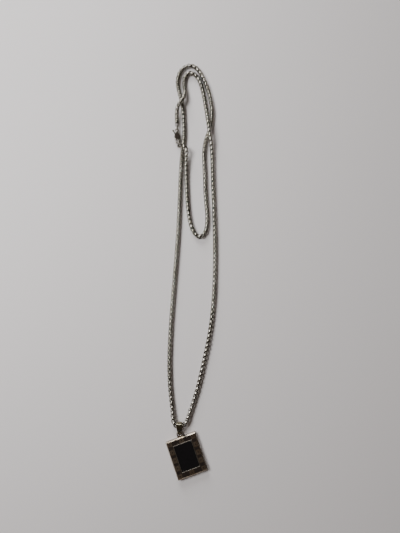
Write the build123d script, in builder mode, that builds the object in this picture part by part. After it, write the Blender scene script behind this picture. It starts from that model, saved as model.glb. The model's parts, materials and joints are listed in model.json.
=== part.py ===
"""Pendant necklace: a round box chain in a double loop, a lobster clasp, a bail and a framed pendant.

Millimetres. The necklace lies on the floor at z = 0. +Y runs from the pendant to the top of the loop and
+Z is up. The origin is the bottom centre of the whole object's box.
"""

import os
from math import cos, pi, radians, sin, tan

from build123d import *

os.makedirs("parts", exist_ok=True)

# --- chain -------------------------------------------------------------------------------------------
chain_width = 2.5          # across the box chain
chain_radius = chain_width / 2
end_link_length = 2.3      # the last link at each end, along the chain
end_link_width = 2.3
end_link_height = 1.0
end_link_wall = 0.45
end_link_edge = 0.15       # rounding of the end links' rims

floor_z = chain_radius + 0.01   # centre of the chain where it lies on the floor
over_z = 3.95                   # centre of the chain where it crosses over itself
bail_z = 2.36                   # centre of the chain inside the bail

# --- clasp -------------------------------------------------------------------------------------------
clasp_ring_radius = 1.6    # to the middle of the wire
catch_ring_radius = 2.1
ring_wire = 0.5            # wire diameter of both rings
clasp_z = 1.5              # mid-plane of the clasp
hook_radius = 1.1          # to the middle of the hook's round section
hook_section = 0.5         # radius of that section
housing_half_height = 1.0
slot_half_height = 0.45
lever_half_height = 0.4
lever_edge = 0.12          # rounding of the lever's rims
pin_radius = 0.3
pin_clearance = 0.04
eye_distance = 6.35        # from the middle of the hook to the middle of the eye
eye_radius = 0.85
eye_section = 0.33

# --- bail --------------------------------------------------------------------------------------------
bail_x = -6.3              # the bail's middle, along the chain
bail_roll_y = -86.3        # centre of the roll that goes round the chain
bail_inner = 1.85
bail_sheet = 0.5
bail_edge = 0.12           # rounding of the strip's outer edges
bail_foot_y = -89.35       # centre of the bend that goes through the lug
bail_foot_z = 1.45
bail_foot_inner = 0.6
bail_top_width = 2.8
bail_foot_width = 1.4

# --- pendant -----------------------------------------------------------------------------------------
pendant_width = 16.0
pendant_height = 19.5
pendant_thickness = 2.6
pendant_turn = 19.7        # degrees, the pendant's swing in its own plane
rim_width = 0.45
rim_height = 0.12          # the rim stands this much above the border
rim_bevel = 0.4
panel_width = 9.3
panel_height = 13.2
panel_pocket = 1.0         # depth of the pocket that the panel is set in
fillet_wire = 0.3          # width of the bright line round the panel
back_recess = 0.5          # depth of the recess that the back plate is pressed into
back_margin = 1.4
enamel_depth = 0.35        # depth of the channel that holds the enamel
enamel_margin = 0.1        # steel left between the enamel and the rim, and the enamel and the bright line
key_size = 2.1             # a steel key, across the border
key_long = 2.6             # and along it, except at the corners
key_dot = 0.6              # the enamel dot in a key
enamel_sink = 0.04         # the enamel lies this far below the border
line_stands = 0.08         # the bright line stands this far above the border
line_bevel = 0.1
panel_stands = 0.03
panel_bevel = 0.2
keys_across = 3
keys_along = 5
lug_offset = 1.6           # from the frame's top edge to the middle of the lug's hole
lug_hole = 1.0
lug_outer = 1.48
lug_thickness = 0.8
lug_edge = 0.15


# ----------------------------------------------------------------------------------------------------
# chain
# ----------------------------------------------------------------------------------------------------

# The middle of the chain, from the link in the clasp ring to the link in the catch ring.
route = [
    (-8.7, 77.8, 1.6),
    (-8.9, 82.2, 1.8),
    (-8.3, 86.6, over_z),
    (-4.7, 91.4, over_z),
    (-4.0, 96.5, 1.4),
    (-5.1, 101.8, floor_z),
    (-4.0, 106.6, floor_z),
    (-0.4, 108.3, floor_z),
    (3.7, 104.6, floor_z),
    (6.2, 96.0, floor_z),
    (8.0, 84.2, 1.35),
    (8.8, 77.4, over_z),
    (10.1, 68.4, over_z),
    (11.2, 60.0, 1.35),
    (11.5, 44.0, floor_z),
    (12.3, 22.0, floor_z),
    (12.5, 0.0, floor_z),
    (11.9, -20.0, floor_z),
    (9.9, -38.0, floor_z),
    (6.4, -54.0, floor_z),
    (2.9, -68.5, floor_z),
    (-0.9, -79.6, 1.35),
    (-3.4, -86.3, bail_z),
    (-9.2, -86.3, bail_z),
    (-9.9, -78.5, 1.35),
    (-11.5, -66.0, floor_z),
    (-11.9, -52.0, floor_z),
    (-11.2, -35.0, floor_z),
    (-10.0, -18.0, floor_z),
    (-8.7, -1.0, floor_z),
    (-7.5, 17.0, floor_z),
    (-6.8, 36.0, floor_z),
    (-6.3, 52.0, floor_z),
    (-5.3, 63.5, floor_z),
    (-4.4, 71.5, floor_z),
    (-4.9, 80.5, floor_z),
    (-5.5, 88.5, floor_z),
    (-7.6, 96.0, floor_z),
    (-8.9, 103.0, floor_z),
    (-6.9, 109.4, floor_z),
    (-2.1, 113.0, floor_z),
    (3.2, 110.6, floor_z),
    (7.3, 102.8, floor_z),
    (10.0, 94.0, floor_z),
    (11.5, 84.0, floor_z),
    (10.4, 75.0, floor_z),
    (7.4, 67.6, floor_z),
    (6.4, 60.5, floor_z),
    (7.0, 47.0, floor_z),
    (7.4, 34.0, floor_z),
    (8.6, 23.5, floor_z),
    (7.6, 14.9, floor_z),
    (3.6, 11.8, floor_z),
    (-0.3, 16.9, floor_z),
    (-2.3, 27.0, floor_z),
    (-3.1, 40.0, floor_z),
    (-3.4, 51.5, 1.4),
    (-3.3, 56.8, 2.8),
    (-3.0, 60.6, 4.1),
    (-4.3, 62.8, 4.4),
    (-6.11, 63.28, 3.7),
]

# Each stretch of the chain ends half way along a run: here are the corners that it holds.
stretches = {
    "chain_clasp_end": (1, 4),
    "chain_inner_top": (5, 10),
    "chain_right_crossing": (11, 13),
    "chain_right_side": (14, 17),
    "chain_lower_right": (18, 21),
    "chain_in_bail": (22, 23),
    "chain_lower_left": (24, 27),
    "chain_left_side": (28, 33),
    "chain_left_crossing": (34, 37),
    "chain_outer_top": (38, 44),
    "chain_inner_right": (45, 49),
    "chain_inner_bend": (50, 53),
    "chain_inner_left": (54, 56),
    "chain_catch_end": (57, 59),
}

corners = [Vector(*point) for point in route]
last_corner = len(corners) - 1


def halfway(run):
    """The middle of the run that starts at this corner, or the chain's end before the first corner."""
    if run == 0:
        return corners[0]
    if run == last_corner - 1:
        return corners[last_corner]
    return (corners[run] + corners[run + 1]) / 2


def bend_radius(corner):
    """The largest arc that the two runs at a corner leave room for."""
    before = corners[corner] - corners[corner - 1]
    after = corners[corner + 1] - corners[corner]
    turn = radians(before.get_angle(after))
    return 0.45 * min(before.length, after.length) / tan(turn / 2)


chain_section = pi * chain_radius**2
chain_length = 2 * end_link_length
for name, (first, last) in stretches.items():
    radii = [bend_radius(corner) for corner in range(first, last + 1)]
    points = [halfway(first - 1), *corners[first : last + 1], halfway(last)]
    with BuildPart() as stretch:
        with BuildLine() as path:
            FilletPolyline(*points, radius=radii)
        with BuildSketch(Plane(origin=path.line @ 0, z_dir=path.line % 0)):
            Circle(chain_radius)
        sweep()
    stretch_length = sum(edge.length for edge in path.edges())
    chain_length += stretch_length
    print(name, "radii", [round(radius, 1) for radius in radii])
    tube_volume = chain_section * stretch_length
    print("  volume over section times length", round(stretch.part.volume / tube_volume, 4))
    stretch.part.label = name
    export_step(stretch.part, f"parts/{name}.step")
print("chain length with its end links", round(chain_length, 1))


def end_link_plane(end, inner):
    """A plane at the middle of the link beyond one end of the tube, X towards the chain and Z upwards."""
    along = (inner - end).normalized()
    sideways = Vector(0, 0, 1).cross(along).normalized()
    return Plane(origin=end - along * end_link_length / 2, x_dir=along, z_dir=along.cross(sideways))


end_links = {
    "end_link_clasp": end_link_plane(corners[0], corners[1]),
    "end_link_catch": end_link_plane(corners[last_corner], corners[last_corner - 1]),
}
for name, plane in end_links.items():
    with BuildPart() as end_link:
        with BuildSketch(plane.offset(-end_link_height / 2)):
            RectangleRounded(end_link_length, end_link_width, 0.3)
            RectangleRounded(
                end_link_length - 2 * end_link_wall,
                end_link_width - 2 * end_link_wall,
                0.3,
                mode=Mode.SUBTRACT,
            )
        extrude(amount=end_link_height)
        rims = end_link.faces().filter_by(Axis((0, 0, 0), tuple(plane.z_dir)))
        fillet(rims.edges(), end_link_edge)
    end_link.part.label = name
    export_step(end_link.part, f"parts/{name}.step")


# ----------------------------------------------------------------------------------------------------
# clasp: a ring on the chain, the cast body, its lever, pin and spring, and the catch ring
# ----------------------------------------------------------------------------------------------------

clasp_link = end_links["end_link_clasp"].origin

# The clasp ring stands on edge, in the plane from the clasp's eye to the end link.
clasp_ring_centre = Vector(clasp_link.X, clasp_link.Y - 1.67, clasp_ring_radius + ring_wire / 2)
eye_centre = Vector(clasp_ring_centre.X, clasp_ring_centre.Y - 1.6, clasp_z)

clasp_turn = 3             # degrees, the clasp's lean against +Y
clasp_tail = Vector(-sin(radians(clasp_turn)), cos(radians(clasp_turn)), 0)
hook_centre = eye_centre - clasp_tail * eye_distance
clasp_plane = Plane(origin=hook_centre, x_dir=(clasp_tail.Y, -clasp_tail.X, 0), z_dir=(0, 0, 1))

# The catch ring stands on edge too, from the hook to the last link of the other end.
catch_way = Vector(0.3, -0.954, 0).normalized()
catch_ring_centre = hook_centre + catch_way * (hook_radius + 0.9)
catch_ring_centre.Z = catch_ring_radius + ring_wire / 2

rings = {
    "clasp_ring": (clasp_ring_radius, Plane(origin=clasp_ring_centre, z_dir=(1, 0, 0))),
    "catch_ring": (
        catch_ring_radius,
        Plane(origin=catch_ring_centre, z_dir=(catch_way.Y, -catch_way.X, 0)),
    ),
}
for name, (radius, plane) in rings.items():
    with BuildPart(plane) as ring:
        Torus(radius, ring_wire / 2)
    ring.part.label = name
    export_step(ring.part, f"parts/{name}.step")

pivot = (-0.75, 3.05)      # the lever's pin, from the hook's middle
gate_x = -1.1              # the closed gate's middle line
gate_end = 0.39            # the gate's free end, short of the hook's tip and clear of the catch ring
gate_width = 0.7
hook_start = 70            # degrees round the hook's middle, where it leaves the housing
hook_sweep = -225          # round the far side, to the tip
knob = (-2.15, 6.25)
knob_radius = 0.6
lever_boss = 0.45
lever_arm = 0.6
slot_back = 0.35           # the slot's closed side
slot_width = 3.4
slot_low = 0.2
slot_high = 4.5
pin_head = 0.42
pin_head_height = 0.1
spring_width = 0.7
spring_sheet = 0.12

with BuildPart(clasp_plane) as clasp_body:
    with BuildSketch(clasp_plane.offset(-housing_half_height)):
        with Locations((0.1, 2.15)):
            Circle(1.8)
        with Locations((0, 4.7)):
            Circle(0.8)
        make_hull()
        Circle(hook_radius - hook_section + 0.02, mode=Mode.SUBTRACT)
    extrude(amount=2 * housing_half_height)
    fillet(clasp_body.faces().filter_by(Axis.Z).edges(), 0.3)
    with BuildLine(clasp_plane) as hook_line:
        CenterArc((0, 0), hook_radius, hook_start, hook_sweep)
    with BuildSketch(Plane(origin=hook_line.line @ 0, z_dir=hook_line.line % 0)):
        Circle(hook_section)
    sweep(path=hook_line.line)
    tip_angle = radians(hook_start + hook_sweep)
    with Locations((hook_radius * cos(tip_angle), hook_radius * sin(tip_angle), 0)):
        Sphere(hook_section)
    with Locations((0, eye_distance, 0)):
        Torus(eye_radius, eye_section)
    with BuildSketch(clasp_plane.offset(-slot_half_height)):
        with Locations((slot_back - slot_width / 2, (slot_low + slot_high) / 2)):
            Rectangle(slot_width, slot_high - slot_low)
    extrude(amount=2 * slot_half_height, mode=Mode.SUBTRACT)
    with Locations((*pivot, 0)):
        Cylinder(pin_radius, 4 * housing_half_height, mode=Mode.SUBTRACT)
clasp_body.part.label = "clasp_body"
export_step(clasp_body.part, "parts/clasp_body.step")

with BuildPart(clasp_plane) as clasp_lever:
    with BuildSketch(clasp_plane.offset(-lever_half_height)):
        with Locations(pivot):
            Circle(lever_boss)
        with Locations((gate_x, gate_end + 0.1)):
            Rectangle(gate_width, 0.2)
        make_hull()
    extrude(amount=2 * lever_half_height)
    with BuildSketch(clasp_plane.offset(-lever_half_height)):
        with Locations(pivot, knob):
            Circle(lever_arm / 2)
        make_hull()
    extrude(amount=2 * lever_half_height)
    fillet(clasp_lever.faces().filter_by(Axis.Z).edges(), lever_edge)
    with Locations((*knob, 0)):
        Sphere(knob_radius)
    with Locations((*pivot, 0)):
        Cylinder(pin_radius + pin_clearance, 4 * lever_half_height, mode=Mode.SUBTRACT)
clasp_lever.part.label = "clasp_lever"
export_step(clasp_lever.part, "parts/clasp_lever.step")

with BuildPart(clasp_plane) as clasp_pin:
    with Locations((*pivot, 0)):
        Cylinder(pin_radius, 2 * housing_half_height)
    with Locations((*pivot, housing_half_height), (*pivot, -housing_half_height - pin_head_height)):
        Cylinder(pin_head, pin_head_height, align=(Align.CENTER, Align.CENTER, Align.MIN))
clasp_pin.part.label = "clasp_pin"
export_step(clasp_pin.part, "parts/clasp_pin.step")

with BuildPart() as clasp_spring:
    with BuildSketch(clasp_plane.offset(-spring_width / 2)):
        with BuildLine():
            ThreePointArc((slot_back - 0.08, 4.3), (slot_back - 0.24, 2.9), (slot_back - 0.08, 1.5))
        trace(line_width=spring_sheet)
    extrude(amount=spring_width)
clasp_spring.part.label = "clasp_spring"
export_step(clasp_spring.part, "parts/clasp_spring.step")


# ----------------------------------------------------------------------------------------------------
# bail: a tapered strip, bent round the chain at the top and through the lug at the foot
# ----------------------------------------------------------------------------------------------------


def bail_outline(sheet):
    """The bail's side view, grown by the thickness of its sheet."""
    with BuildSketch(mode=Mode.PRIVATE) as outline:
        with Locations((bail_roll_y, bail_z)):
            Circle(bail_inner + sheet)
        with Locations((bail_foot_y, bail_foot_z)):
            Circle(bail_foot_inner + sheet)
        make_hull()
    return outline.sketch_local


past_end = 0.1             # the front outline reaches this far past the strip's bends
bail_half_front = [
    (bail_top_width / 2, bail_roll_y + bail_inner + bail_sheet + past_end),
    (bail_top_width / 2, bail_roll_y),
    (bail_foot_width / 2, bail_foot_y - bail_foot_inner - bail_sheet - past_end),
]
with BuildPart() as bail:
    with BuildSketch(Plane.YZ.offset(bail_x)):
        add(bail_outline(bail_sheet))
        add(bail_outline(0), mode=Mode.SUBTRACT)
    extrude(amount=bail_top_width / 2, both=True)
    with BuildSketch(Plane.XY.offset(-1)):
        with BuildLine(Plane(origin=(bail_x, 0, 0))):
            Polyline(*bail_half_front, *[(-x, y) for x, y in reversed(bail_half_front)], close=True)
        make_face()
    extrude(amount=2 * (bail_inner + bail_sheet) + 2, mode=Mode.INTERSECT)
    fillet(bail.edges(), bail_edge)
bail.part.label = "bail"
export_step(bail.part, "parts/bail.step")


# ----------------------------------------------------------------------------------------------------
# pendant: frame, key enamel, panel with its bright line, back plate and lug
# ----------------------------------------------------------------------------------------------------

lug_y = bail_foot_y - bail_foot_inner - bail_sheet / 2
pendant_up = Vector(-sin(radians(pendant_turn)), cos(radians(pendant_turn)), 0)
pendant_centre = Vector(bail_x, lug_y, 0) - pendant_up * (pendant_height / 2 + lug_offset)
pendant_plane = Plane(origin=pendant_centre, x_dir=(pendant_up.Y, -pendant_up.X, 0), z_dir=(0, 0, 1))

border_z = pendant_thickness - rim_height
line_width = panel_width + 2 * fillet_wire
line_height = panel_height + 2 * fillet_wire
band_across = (pendant_width - rim_width * 2 + line_width) / 2
band_along = (pendant_height - rim_width * 2 + line_height) / 2
pitch_across = band_across / (keys_across - 1)
pitch_along = band_along / (keys_along - 1)


def along_or_across(step, count):
    """A key's size in one direction: long between the corners."""
    return key_long if 0 < step < count - 1 else key_size


keys = [
    (
        Location((column * pitch_across - band_across / 2, row * pitch_along - band_along / 2)),
        along_or_across(column, keys_across),
        along_or_across(row, keys_along),
    )
    for column in range(keys_across)
    for row in range(keys_along)
    if column in (0, keys_across - 1) or row in (0, keys_along - 1)
]


def enamel_ground():
    """The enamel's outline: the whole border round the square keys, and a dot in each key."""
    with BuildSketch(mode=Mode.PRIVATE) as ground:
        Rectangle(
            pendant_width - 2 * (rim_width + enamel_margin),
            pendant_height - 2 * (rim_width + enamel_margin),
        )
        Rectangle(line_width + 2 * enamel_margin, line_height + 2 * enamel_margin, mode=Mode.SUBTRACT)
        for place, width, height in keys:
            with Locations(place):
                Rectangle(width, height, mode=Mode.SUBTRACT)
                Rectangle(key_dot, key_dot)
    return ground.sketch_local


with BuildPart() as pendant_frame:
    with BuildSketch(pendant_plane):
        RectangleRounded(pendant_width, pendant_height, 0.4)
    extrude(amount=pendant_thickness)
    chamfer(pendant_frame.faces().sort_by(Axis.Z)[-1].edges(), rim_bevel)
    chamfer(pendant_frame.faces().sort_by(Axis.Z)[0].edges(), 0.15)
    with BuildSketch(pendant_plane.offset(border_z)):
        Rectangle(pendant_width - 2 * rim_width, pendant_height - 2 * rim_width)
    extrude(amount=rim_height, mode=Mode.SUBTRACT)
    with BuildSketch(pendant_plane.offset(border_z - panel_pocket)):
        Rectangle(line_width, line_height)
    extrude(amount=panel_pocket, mode=Mode.SUBTRACT)
    with BuildSketch(pendant_plane.offset(border_z - enamel_depth)):
        add(enamel_ground())
    extrude(amount=enamel_depth, mode=Mode.SUBTRACT)
    with BuildSketch(pendant_plane):
        Rectangle(pendant_width - 2 * back_margin, pendant_height - 2 * back_margin)
    extrude(amount=back_recess, mode=Mode.SUBTRACT)
pendant_frame.part.label = "pendant_frame"
export_step(pendant_frame.part, "parts/pendant_frame.step")

with BuildPart() as key_enamel:
    with BuildSketch(pendant_plane.offset(border_z - enamel_depth)):
        add(enamel_ground())
    extrude(amount=enamel_depth - enamel_sink)
key_enamel.part.label = "key_enamel"
export_step(key_enamel.part, "parts/key_enamel.step")

with BuildPart() as panel_line:
    with BuildSketch(pendant_plane.offset(border_z - panel_pocket)):
        Rectangle(line_width, line_height)
        Rectangle(panel_width, panel_height, mode=Mode.SUBTRACT)
    extrude(amount=panel_pocket + line_stands)
    chamfer(panel_line.faces().sort_by(Axis.Z)[-1].edges(), line_bevel)
panel_line.part.label = "panel_line"
export_step(panel_line.part, "parts/panel_line.step")

with BuildPart() as centre_panel:
    with BuildSketch(pendant_plane.offset(border_z - panel_pocket)):
        Rectangle(panel_width, panel_height)
    extrude(amount=panel_pocket + panel_stands)
    chamfer(centre_panel.faces().sort_by(Axis.Z)[-1].edges(), panel_bevel)
centre_panel.part.label = "centre_panel"
export_step(centre_panel.part, "parts/centre_panel.step")

with BuildPart() as back_plate:
    with BuildSketch(pendant_plane):
        Rectangle(pendant_width - 2 * back_margin, pendant_height - 2 * back_margin)
    extrude(amount=back_recess)
back_plate.part.label = "back_plate"
export_step(back_plate.part, "parts/back_plate.step")

with BuildPart() as pendant_lug:
    with BuildSketch(pendant_plane.offset(bail_foot_z - lug_thickness / 2)):
        with Locations((0, pendant_height / 2 + lug_offset)):
            Circle(lug_outer)
        with Locations((0, pendant_height / 2 + lug_offset / 2)):
            Rectangle(2 * lug_outer, lug_offset)
        with Locations((0, pendant_height / 2 + lug_offset)):
            Circle(lug_hole, mode=Mode.SUBTRACT)
    extrude(amount=lug_thickness)
    fillet(pendant_lug.faces().filter_by(Axis.Z).edges(), lug_edge)
pendant_lug.part.label = "pendant_lug"
export_step(pendant_lug.part, "parts/pendant_lug.step")
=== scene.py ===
"""Looks of the pendant necklace: a round box chain, lobster clasp, bail and framed pendant. Metres.

The necklace lies on a pale floor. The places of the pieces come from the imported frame, and the chain's
route is the one that the design gives it.
"""

import json
from math import pi, radians

import bmesh
import bpy
from mathutils import Matrix, Vector


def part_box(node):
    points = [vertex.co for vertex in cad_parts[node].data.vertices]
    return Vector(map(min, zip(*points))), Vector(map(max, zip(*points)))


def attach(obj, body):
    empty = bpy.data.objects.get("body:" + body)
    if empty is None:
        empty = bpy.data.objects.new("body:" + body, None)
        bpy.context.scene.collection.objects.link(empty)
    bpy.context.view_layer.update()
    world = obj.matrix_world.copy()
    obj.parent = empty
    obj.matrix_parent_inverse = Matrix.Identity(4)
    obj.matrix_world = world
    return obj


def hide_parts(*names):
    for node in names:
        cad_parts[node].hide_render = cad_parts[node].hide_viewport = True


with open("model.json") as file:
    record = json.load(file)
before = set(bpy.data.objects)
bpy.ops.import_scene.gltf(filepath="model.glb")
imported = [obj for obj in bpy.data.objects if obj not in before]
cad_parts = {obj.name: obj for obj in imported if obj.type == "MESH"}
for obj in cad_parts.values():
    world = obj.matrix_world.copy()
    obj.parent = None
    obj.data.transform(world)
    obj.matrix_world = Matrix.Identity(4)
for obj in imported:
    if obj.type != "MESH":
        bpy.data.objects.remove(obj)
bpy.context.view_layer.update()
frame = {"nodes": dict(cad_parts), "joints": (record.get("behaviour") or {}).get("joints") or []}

# --- view and light ----------------------------------------------------------------------------------
camera_foot = (0.0043, -0.0284)    # the floor point straight below the camera
camera_height = 0.2155
camera_tilt = radians(6.62)        # towards the top of the loop
camera_lens = 27.0                 # millimetres
camera_sensor = 36                 # millimetres
nearest_seen = 0.005               # anything closer to the camera is cut off

# --- rings and pendant -------------------------------------------------------------------------------
ring_wire = 0.0005
ring_gap = 0.00003                 # where a ring's two ends meet
clasp_ring_radius = 0.0016         # to the middle of the wire
catch_ring_radius = 0.0021
clasp_ring_seam = radians(70)      # where round the ring its ends meet
catch_ring_seam = radians(200)
ring_sides = 12                    # faces round the wire
ring_steps = 56                    # faces along it
pendant_turn = radians(19.7)       # the pendant's swing in its own plane

# --- stage -------------------------------------------------------------------------------------------
floor_colour = (0.72, 0.69, 0.69)
floor_roughness = 0.7
floor_reach = 3                    # from its middle to its edges
wall_colour = (0.05, 0.05, 0.05)
ceiling_colour = (0.1, 0.08, 0.065)
wall_top = 0.1                     # the shares of the room's height between which one fades into the other
ceiling_start = 0.85

# --- finishes ----------------------------------------------------------------------------------------
crisp_angle = radians(50)          # edges sharper than this are not smoothed
drift_scale = 260                  # fineness of the steel's change of tint, per metre
handling_scale = 2600              # fineness of its handling marks
handling_depth = 0.00001
mottle_scale = 700                 # fineness of the black pieces' mottling
wave_scale = 350                   # fineness of their surface's unevenness
wave_depth = 0.00002

# --- chain -------------------------------------------------------------------------------------------
chain_width = 0.00245
link_pitch = 0.00126               # from one link to the next
link_wire = 0.0005                 # thickness of the flat wire that a link is bent from
link_band = 0.00135                # width of that wire
link_corner = 0.00075              # size of a link's rounded corners
link_crown = 0.15                  # how much smaller a link is at its rims than at its middle
end_link_length = 0.0023           # the last link at each end, square
end_link_height = 0.001
end_link_wire = 0.00045
floor_z = 0.00126                  # centre of the chain where it lies on the floor
over_z = 0.00395                   # centre of the chain where it crosses over itself
bail_z = 0.00236                   # centre of the chain inside the bail
line_steps = 16                    # straight steps in each stretch of the chain's line
steps_ahead = 2                    # how far along those steps a link looks for its direction
steps_back = 3

# The middle of the chain, from the link in the clasp ring to the link in the catch ring.
route = [
    (-0.0087, 0.0778, 0.0016),
    (-0.0089, 0.0822, 0.0018),
    (-0.0083, 0.0866, over_z),
    (-0.0047, 0.0914, over_z),
    (-0.004, 0.0965, 0.0014),
    (-0.0051, 0.1018, floor_z),
    (-0.004, 0.1066, floor_z),
    (-0.0004, 0.1083, floor_z),
    (0.0037, 0.1046, floor_z),
    (0.0062, 0.096, floor_z),
    (0.008, 0.0842, 0.00135),
    (0.0088, 0.0774, over_z),
    (0.0101, 0.0684, over_z),
    (0.0112, 0.06, 0.00135),
    (0.0115, 0.044, floor_z),
    (0.0123, 0.022, floor_z),
    (0.0125, 0., floor_z),
    (0.0119, -0.02, floor_z),
    (0.0099, -0.038, floor_z),
    (0.0064, -0.054, floor_z),
    (0.0029, -0.0685, floor_z),
    (-0.0009, -0.0796, 0.00135),
    (-0.0034, -0.0863, bail_z),
    (-0.0092, -0.0863, bail_z),
    (-0.0099, -0.0785, 0.00135),
    (-0.0115, -0.066, floor_z),
    (-0.0119, -0.052, floor_z),
    (-0.0112, -0.035, floor_z),
    (-0.01, -0.018, floor_z),
    (-0.0087, -0.001, floor_z),
    (-0.0075, 0.017, floor_z),
    (-0.0068, 0.036, floor_z),
    (-0.0063, 0.052, floor_z),
    (-0.0053, 0.0635, floor_z),
    (-0.0044, 0.0715, floor_z),
    (-0.0049, 0.0805, floor_z),
    (-0.0055, 0.0885, floor_z),
    (-0.0076, 0.096, floor_z),
    (-0.0089, 0.103, floor_z),
    (-0.0069, 0.1094, floor_z),
    (-0.0021, 0.113, floor_z),
    (0.0032, 0.1106, floor_z),
    (0.0073, 0.1028, floor_z),
    (0.01, 0.094, floor_z),
    (0.0115, 0.084, floor_z),
    (0.0104, 0.075, floor_z),
    (0.0074, 0.0676, floor_z),
    (0.0064, 0.0605, floor_z),
    (0.007, 0.047, floor_z),
    (0.0074, 0.034, floor_z),
    (0.0086, 0.0235, floor_z),
    (0.0076, 0.0149, floor_z),
    (0.0036, 0.0118, floor_z),
    (-0.0003, 0.0169, floor_z),
    (-0.0023, 0.027, floor_z),
    (-0.0031, 0.04, floor_z),
    (-0.0034, 0.0515, 0.0014),
    (-0.0033, 0.0568, 0.0028),
    (-0.003, 0.0606, 0.0041),
    (-0.0043, 0.0628, 0.0044),
    (-0.00611, 0.06328, 0.0037),
]

# How far the chain has rolled about its own line, in degrees, at some of the route's points.
rolls = {
    0: 45, 3: 40, 6: 20, 8: 5, 10: 0, 12: 20, 14: 35, 17: 50, 19: 25, 21: 0, 23: 0,
    25: 25, 27: 45, 30: 40, 32: 45, 33: 25, 34: 0, 36: 5, 38: 25, 41: 40, 44: 20,
    46: 35, 48: 45, 50: 40, 52: 15, 54: 5, 57: 0, 60: 0,
}


def add_camera():
    camera = bpy.data.cameras.new("camera")
    camera.lens = camera_lens
    camera.sensor_width = camera_sensor
    camera.clip_start = nearest_seen
    stand = bpy.data.objects.new("camera", camera)
    stand.location = (*camera_foot, camera_height)
    stand.rotation_euler = (camera_tilt, 0, 0)
    bpy.context.collection.objects.link(stand)
    bpy.context.scene.camera = stand


# ----------------------------------------------------------------------------------------------------
# helpers
# ----------------------------------------------------------------------------------------------------


def add_piece(name, bm, slot, *materials):
    """Turns a finished bmesh into an object at the origin, shaded smooth up to its crisp edges."""
    mesh = bpy.data.meshes.new(name)
    bm.to_mesh(mesh)
    bm.free()
    mesh.shade_smooth()
    mesh.set_sharp_from_angle(angle=crisp_angle)
    for material in materials:
        mesh.materials.append(material)
    piece = bpy.data.objects.new(name, mesh)
    bpy.context.collection.objects.link(piece)
    return piece


def new_material(name):
    """A material with its nodes, links and shader."""
    material = bpy.data.materials.new(name)
    material.use_nodes = True
    nodes, links = material.node_tree.nodes, material.node_tree.links
    return material, nodes, links, nodes["Principled BSDF"]


def noise(nodes, links, place, scale, detail=3, stretch=(1, 1, 1), turn=0):
    """A noise pattern fixed to the piece, stretched along its own directions."""
    mapping = nodes.new("ShaderNodeMapping")
    mapping.inputs["Scale"].default_value = stretch
    mapping.inputs["Rotation"].default_value = (0, 0, turn)
    pattern = nodes.new("ShaderNodeTexNoise")
    pattern.inputs["Scale"].default_value = scale
    pattern.inputs["Detail"].default_value = detail
    links.new(place.outputs["Object"], mapping.inputs["Vector"])
    links.new(mapping.outputs["Vector"], pattern.inputs["Vector"])
    return pattern


def steel(name, bright, dull, roughness, marks=0.12, stretch=(1, 1, 1), turn=0):
    """Polished steel: a tint that drifts between two shades, uneven gloss and fine handling marks."""
    material, nodes, links, shader = new_material(name)
    shader.inputs["Metallic"].default_value = 1.0
    place = nodes.new("ShaderNodeTexCoord")
    drift = noise(nodes, links, place, drift_scale)
    tint = nodes.new("ShaderNodeValToRGB")
    tint.color_ramp.elements[0].position = 0.35
    tint.color_ramp.elements[0].color = (*dull, 1)
    tint.color_ramp.elements[1].position = 0.65
    tint.color_ramp.elements[1].color = (*bright, 1)
    links.new(drift.outputs["Fac"], tint.inputs["Fac"])
    links.new(tint.outputs["Color"], shader.inputs["Base Color"])
    handling = noise(nodes, links, place, handling_scale, 4, stretch, turn)
    gloss = nodes.new("ShaderNodeMapRange")
    gloss.inputs["From Min"].default_value = 0.3
    gloss.inputs["From Max"].default_value = 0.7
    gloss.inputs["To Min"].default_value = roughness * 0.7
    gloss.inputs["To Max"].default_value = roughness * 1.4
    links.new(handling.outputs["Fac"], gloss.inputs["Value"])
    links.new(gloss.outputs["Result"], shader.inputs["Roughness"])
    bump = nodes.new("ShaderNodeBump")
    bump.inputs["Strength"].default_value = marks
    bump.inputs["Distance"].default_value = handling_depth
    links.new(handling.outputs["Fac"], bump.inputs["Height"])
    links.new(bump.outputs["Normal"], shader.inputs["Normal"])
    return material


def black_gloss(name, colour, roughness, ripple):
    """Black filling or stone: a deep colour with faint mottling and a surface that is not quite flat."""
    material, nodes, links, shader = new_material(name)
    place = nodes.new("ShaderNodeTexCoord")
    mottle = noise(nodes, links, place, mottle_scale)
    shade = nodes.new("ShaderNodeValToRGB")
    shade.color_ramp.elements[0].color = (*(channel * 0.6 for channel in colour), 1)
    shade.color_ramp.elements[1].color = (*(channel * 1.5 for channel in colour), 1)
    links.new(mottle.outputs["Fac"], shade.inputs["Fac"])
    links.new(shade.outputs["Color"], shader.inputs["Base Color"])
    shader.inputs["Roughness"].default_value = roughness
    waves = noise(nodes, links, place, wave_scale, 1)
    bump = nodes.new("ShaderNodeBump")
    bump.inputs["Strength"].default_value = ripple
    bump.inputs["Distance"].default_value = wave_depth
    links.new(waves.outputs["Fac"], bump.inputs["Height"])
    links.new(bump.outputs["Normal"], shader.inputs["Normal"])
    return material


# ----------------------------------------------------------------------------------------------------
# chain
# ----------------------------------------------------------------------------------------------------


def chain_line():
    """The smooth line that the route's points draw."""
    curve = bpy.data.curves.new("chain line", "CURVE")
    curve.dimensions = "3D"
    curve.resolution_u = line_steps
    spline = curve.splines.new("NURBS")
    spline.points.add(len(route) - 1)
    for point, place in zip(spline.points, route):
        point.co = (*place, 1)
    spline.order_u = 3
    spline.use_endpoint_u = True
    holder = bpy.data.objects.new("chain line", curve)
    mesh = bpy.data.meshes.new_from_object(holder)
    line = [vertex.co.copy() for vertex in mesh.vertices]
    bpy.data.objects.remove(holder)
    bpy.data.meshes.remove(mesh)
    return line


def distances(points):
    """How far each point is along the line through them all."""
    so_far = [0.0]
    for before, after in zip(points, points[1:]):
        so_far.append(so_far[-1] + (after - before).length)
    return so_far


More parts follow.
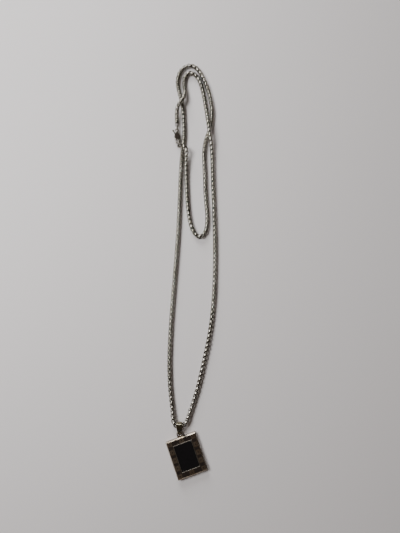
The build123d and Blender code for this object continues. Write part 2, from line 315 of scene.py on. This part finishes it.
def between(at, places, values):
    """The value at a place, straight-line between the known ones."""
    for index in range(1, len(places)):
        if at <= places[index] or index == len(places) - 1:
            share = (at - places[index - 1]) / (places[index] - places[index - 1])
            return values[index - 1] + (values[index] - values[index - 1]) * share


def faces_outward(face):
    """Whether a face looks away from the link's middle."""
    return face.normal.dot(face.calc_center_median()) > 0


def crosses_band(edge, band):
    """Whether an edge runs from one rim of the link's band to the other."""
    return abs(edge.verts[0].co.z - edge.verts[1].co.z) > band / 2


def link_shape(length, width, band, wire, corner, crown):
    """One link: a loop of flat wire along X in the XY plane, its outer face crowned across the band."""
    bm = bmesh.new()
    bmesh.ops.create_cube(bm, size=1)
    bmesh.ops.scale(bm, verts=bm.verts, vec=(length, width, band))
    caps = [face for face in bm.faces if abs(face.normal.z) > 0.9]
    bmesh.ops.inset_individual(bm, faces=caps, thickness=wire)
    rims = [edge for face in caps for edge in face.edges]
    bmesh.ops.delete(bm, geom=caps, context="FACES_ONLY")
    bmesh.ops.bridge_loops(bm, edges=rims)
    bmesh.ops.recalc_face_normals(bm, faces=bm.faces)
    corners = [
        edge
        for edge in bm.edges
        if crosses_band(edge, band) and abs(edge.verts[0].co.y) > (width - wire) / 2
    ]
    bmesh.ops.bevel(
        bm, geom=corners, offset=corner, segments=2, profile=0.5, affect="EDGES", material=-1
    )
    outer = [face for face in bm.faces if abs(face.normal.z) < 0.5 and faces_outward(face)]
    across = [
        edge
        for edge in bm.edges
        if crosses_band(edge, band) and any(face in outer for face in edge.link_faces)
    ]
    bmesh.ops.subdivide_edges(bm, edges=across, cuts=2, use_grid_fill=True)
    for vert in bm.verts:
        if max(abs(vert.co.x) - length / 2 + wire, abs(vert.co.y) - width / 2 + wire) > wire / 4:
            shrink = 1 - crown * (2 * vert.co.z / band) ** 2
            vert.co.x *= shrink
            vert.co.y *= shrink
    rims = [
        edge
        for edge in bm.edges
        if all(abs(vert.co.z) > band / 2 - 1e-6 for vert in edge.verts)
        and any(abs(face.normal.z) < 0.7 and faces_outward(face) for face in edge.link_faces)
    ]
    bmesh.ops.bevel(
        bm, geom=rims, offset=wire / 6, segments=1, profile=0.5, affect="EDGES", material=-1
    )
    # Faces that look into the link, and the flat faces of its rims, take the second material: a near-black
    # painted shade between the links
    for face in bm.faces:
        inward = face.normal.dot(face.calc_center_median()) < 0
        face.material_index = int(inward or abs(face.normal.z) > 0.9)
    return bm


def add_chain():
    """All the links, each turned a quarter against the last, along the smooth line."""
    line = chain_line()
    along = distances(line)
    length = along[-1]
    count = round(length / link_pitch)
    route_along = distances([Vector(point) for point in route])
    roll_places = [route_along[corner] / route_along[-1] * length for corner in rolls]
    roll_values = list(rolls.values())
    template = link_shape(
        link_pitch + 2 * link_wire, chain_width, link_band, link_wire, link_corner, link_crown
    )
    link = bpy.data.meshes.new("link")
    template.to_mesh(link)
    template.free()
    bm = bmesh.new()
    segment = 1
    for index in range(count):
        at = (index + 0.5) * length / count
        while along[segment] < at and segment < len(line) - 1:
            segment += 1
        share = (at - along[segment - 1]) / (along[segment] - along[segment - 1])
        place = line[segment - 1].lerp(line[segment], share)
        ahead = line[min(segment + steps_ahead, len(line) - 1)]
        forward = (ahead - line[max(segment - steps_back, 0)]).normalized()
        side = Vector((0, 0, 1)).cross(forward).normalized()
        up = forward.cross(side)
        turn = Matrix((forward, side, up)).transposed().to_4x4()
        roll = radians(between(at, roll_places, roll_values) + 90 * (index % 2))
        first = len(bm.verts)
        bm.from_mesh(link)
        bm.verts.ensure_lookup_table()
        bmesh.ops.transform(
            bm,
            verts=bm.verts[first:],
            matrix=Matrix.Translation(place) @ turn @ Matrix.Rotation(roll, 4, "X"),
        )
    piece = add_piece("box_chain", bm, "chain_steel", chain_steel, chain_painted_shade)
    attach(piece, "chain")
    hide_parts(*[name for name in frame["nodes"] if name.startswith("chain_")])


def add_end_link(name, end, inner):
    """The last link beyond one end of the chain, lying flat along it."""
    along = (Vector(inner) - Vector(end)).normalized()
    sideways = Vector((0, 0, 1)).cross(along).normalized()
    turn = Matrix((along, sideways, along.cross(sideways))).transposed().to_4x4()
    bm = link_shape(
        end_link_length, end_link_length, end_link_height, end_link_wire, link_corner, link_crown / 2
    )
    place = Vector(end) - along * end_link_length / 2
    bmesh.ops.transform(bm, verts=bm.verts, matrix=Matrix.Translation(place) @ turn)
    piece = add_piece(name + "_rounded", bm, "chain_steel", chain_steel, chain_painted_shade)
    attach(piece, "chain")
    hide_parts(name)


# ----------------------------------------------------------------------------------------------------
# jump rings
# ----------------------------------------------------------------------------------------------------


def middle(node):
    """The middle of a CAD piece's box."""
    low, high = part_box(node)
    return (Vector(low) + Vector(high)) / 2


def add_ring(name, radius, axis, seam_turn):
    """A ring of round wire with the fine gap where its ends meet."""
    bm = bmesh.new()
    section_place = Matrix.Translation((radius, 0, 0)) @ Matrix.Rotation(pi / 2, 4, "X")
    bmesh.ops.create_circle(bm, segments=ring_sides, radius=ring_wire / 2, matrix=section_place)
    bmesh.ops.spin(
        bm,
        geom=bm.verts[:] + bm.edges[:],
        axis=(0, 0, 1),
        cent=(0, 0, 0),
        steps=ring_steps,
        angle=2 * pi - ring_gap / radius,
    )
    bmesh.ops.holes_fill(bm, edges=[edge for edge in bm.edges if edge.is_boundary], sides=0)
    bmesh.ops.recalc_face_normals(bm, faces=bm.faces)
    facing = Vector(axis).to_track_quat("Z", "Y").to_matrix().to_4x4()
    turn = facing @ Matrix.Rotation(seam_turn, 4, "Z")
    bmesh.ops.transform(bm, verts=bm.verts, matrix=Matrix.Translation(middle(name)) @ turn)
    piece = add_piece(name + "_wire", bm, "clasp_steel", clasp_steel)
    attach(piece, name)
    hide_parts(name)


# ----------------------------------------------------------------------------------------------------
# stage
# ----------------------------------------------------------------------------------------------------


def add_floor():
    """A plain pale floor, wide enough for every view."""
    bm = bmesh.new()
    bmesh.ops.create_grid(bm, x_segments=1, y_segments=1, size=floor_reach)
    material, _, _, shader = new_material("pale floor")
    shader.inputs["Base Color"].default_value = (*floor_colour, 1)
    shader.inputs["Roughness"].default_value = floor_roughness
    mesh = bpy.data.meshes.new("floor")
    bm.to_mesh(mesh)
    bm.free()
    mesh.materials.append(material)
    floor = bpy.data.objects.new("floor", mesh)
    bpy.context.collection.objects.link(floor)


def add_light(name, place, aim, size, power):
    """A soft square light."""
    light = bpy.data.lights.new(name, "AREA")
    light.size = size
    light.energy = power
    lamp = bpy.data.objects.new(name, light)
    lamp.location = place
    lamp.rotation_euler = (Vector(aim) - Vector(place)).to_track_quat("-Z", "Y").to_euler()
    bpy.context.collection.objects.link(lamp)


def add_room():
    """A room with a dark ceiling and paler walls."""
    world = bpy.data.worlds.new("room")
    world.use_nodes = True
    nodes, links = world.node_tree.nodes, world.node_tree.links
    place = nodes.new("ShaderNodeTexCoord")
    split = nodes.new("ShaderNodeSeparateXYZ")
    shade = nodes.new("ShaderNodeValToRGB")
    shade.color_ramp.elements[0].position = wall_top
    shade.color_ramp.elements[0].color = (*wall_colour, 1)
    shade.color_ramp.elements[1].position = ceiling_start
    shade.color_ramp.elements[1].color = (*ceiling_colour, 1)
    links.new(place.outputs["Generated"], split.inputs["Vector"])
    links.new(split.outputs["Z"], shade.inputs["Fac"])
    links.new(shade.outputs["Color"], nodes["Background"].inputs["Color"])
    bpy.context.scene.world = world


# ----------------------------------------------------------------------------------------------------
# the necklace, the floor and the light
# ----------------------------------------------------------------------------------------------------

chain_steel = steel("chain steel", (0.42, 0.4, 0.36), (0.32, 0.3, 0.25), 0.13)
# Near-black steel for the faces inside and between the links: painted shade standing in for the shadow in
# the chain's crevices
chain_painted_shade = steel("painted shade between the links", (0.1, 0.09, 0.075), (0.06, 0.05, 0.04), 0.35)
clasp_steel = steel("clasp steel", (0.36, 0.34, 0.31), (0.26, 0.24, 0.21), 0.14)
bail_steel = steel("bail steel", (0.3, 0.27, 0.2), (0.2, 0.18, 0.13), 0.12, 0.15, (4, 1, 1))
pendant_steel = steel(
    "pendant steel", (0.42, 0.38, 0.32), (0.32, 0.26, 0.2), 0.22, 0.2, (6, 1, 1), pendant_turn
)
line_steel = steel("line steel", (0.2, 0.18, 0.16), (0.13, 0.12, 0.1), 0.5)
enamel = black_gloss("black enamel", (0.014, 0.01, 0.008), 0.28, 0.3)
onyx = black_gloss("black panel", (0.004, 0.004, 0.005), 0.06, 0.08)

add_camera()
add_chain()
add_end_link("end_link_clasp", route[0], route[1])
add_end_link("end_link_catch", route[-1], route[-2])
catch_axis = next(joint["axis"] for joint in frame["joints"] if joint["name"] == "catch_ring_turn")
add_ring("clasp_ring", clasp_ring_radius, (1, 0, 0), clasp_ring_seam)
add_ring("catch_ring", catch_ring_radius, catch_axis, catch_ring_seam)

finishes = {
    "clasp_body": clasp_steel,
    "clasp_lever": clasp_steel,
    "clasp_pin": clasp_steel,
    "clasp_spring": clasp_steel,
    "bail": bail_steel,
    "pendant_frame": pendant_steel,
    "pendant_lug": pendant_steel,
    "panel_line": line_steel,
    "back_plate": pendant_steel,
    "key_enamel": enamel,
    "centre_panel": onyx,
}
for node, material in finishes.items():
    for place in frame["nodes"][node].material_slots:
        place.material = material

add_floor()
add_room()
add_light("window on the left", place=(-0.27, 0.08, 0.38), aim=(0, 0, 0), size=0.2, power=2.2)
add_light("window beyond the loop", place=(-0.2, 0.62, 0.27), aim=(0, 0, 0), size=0.3, power=4)
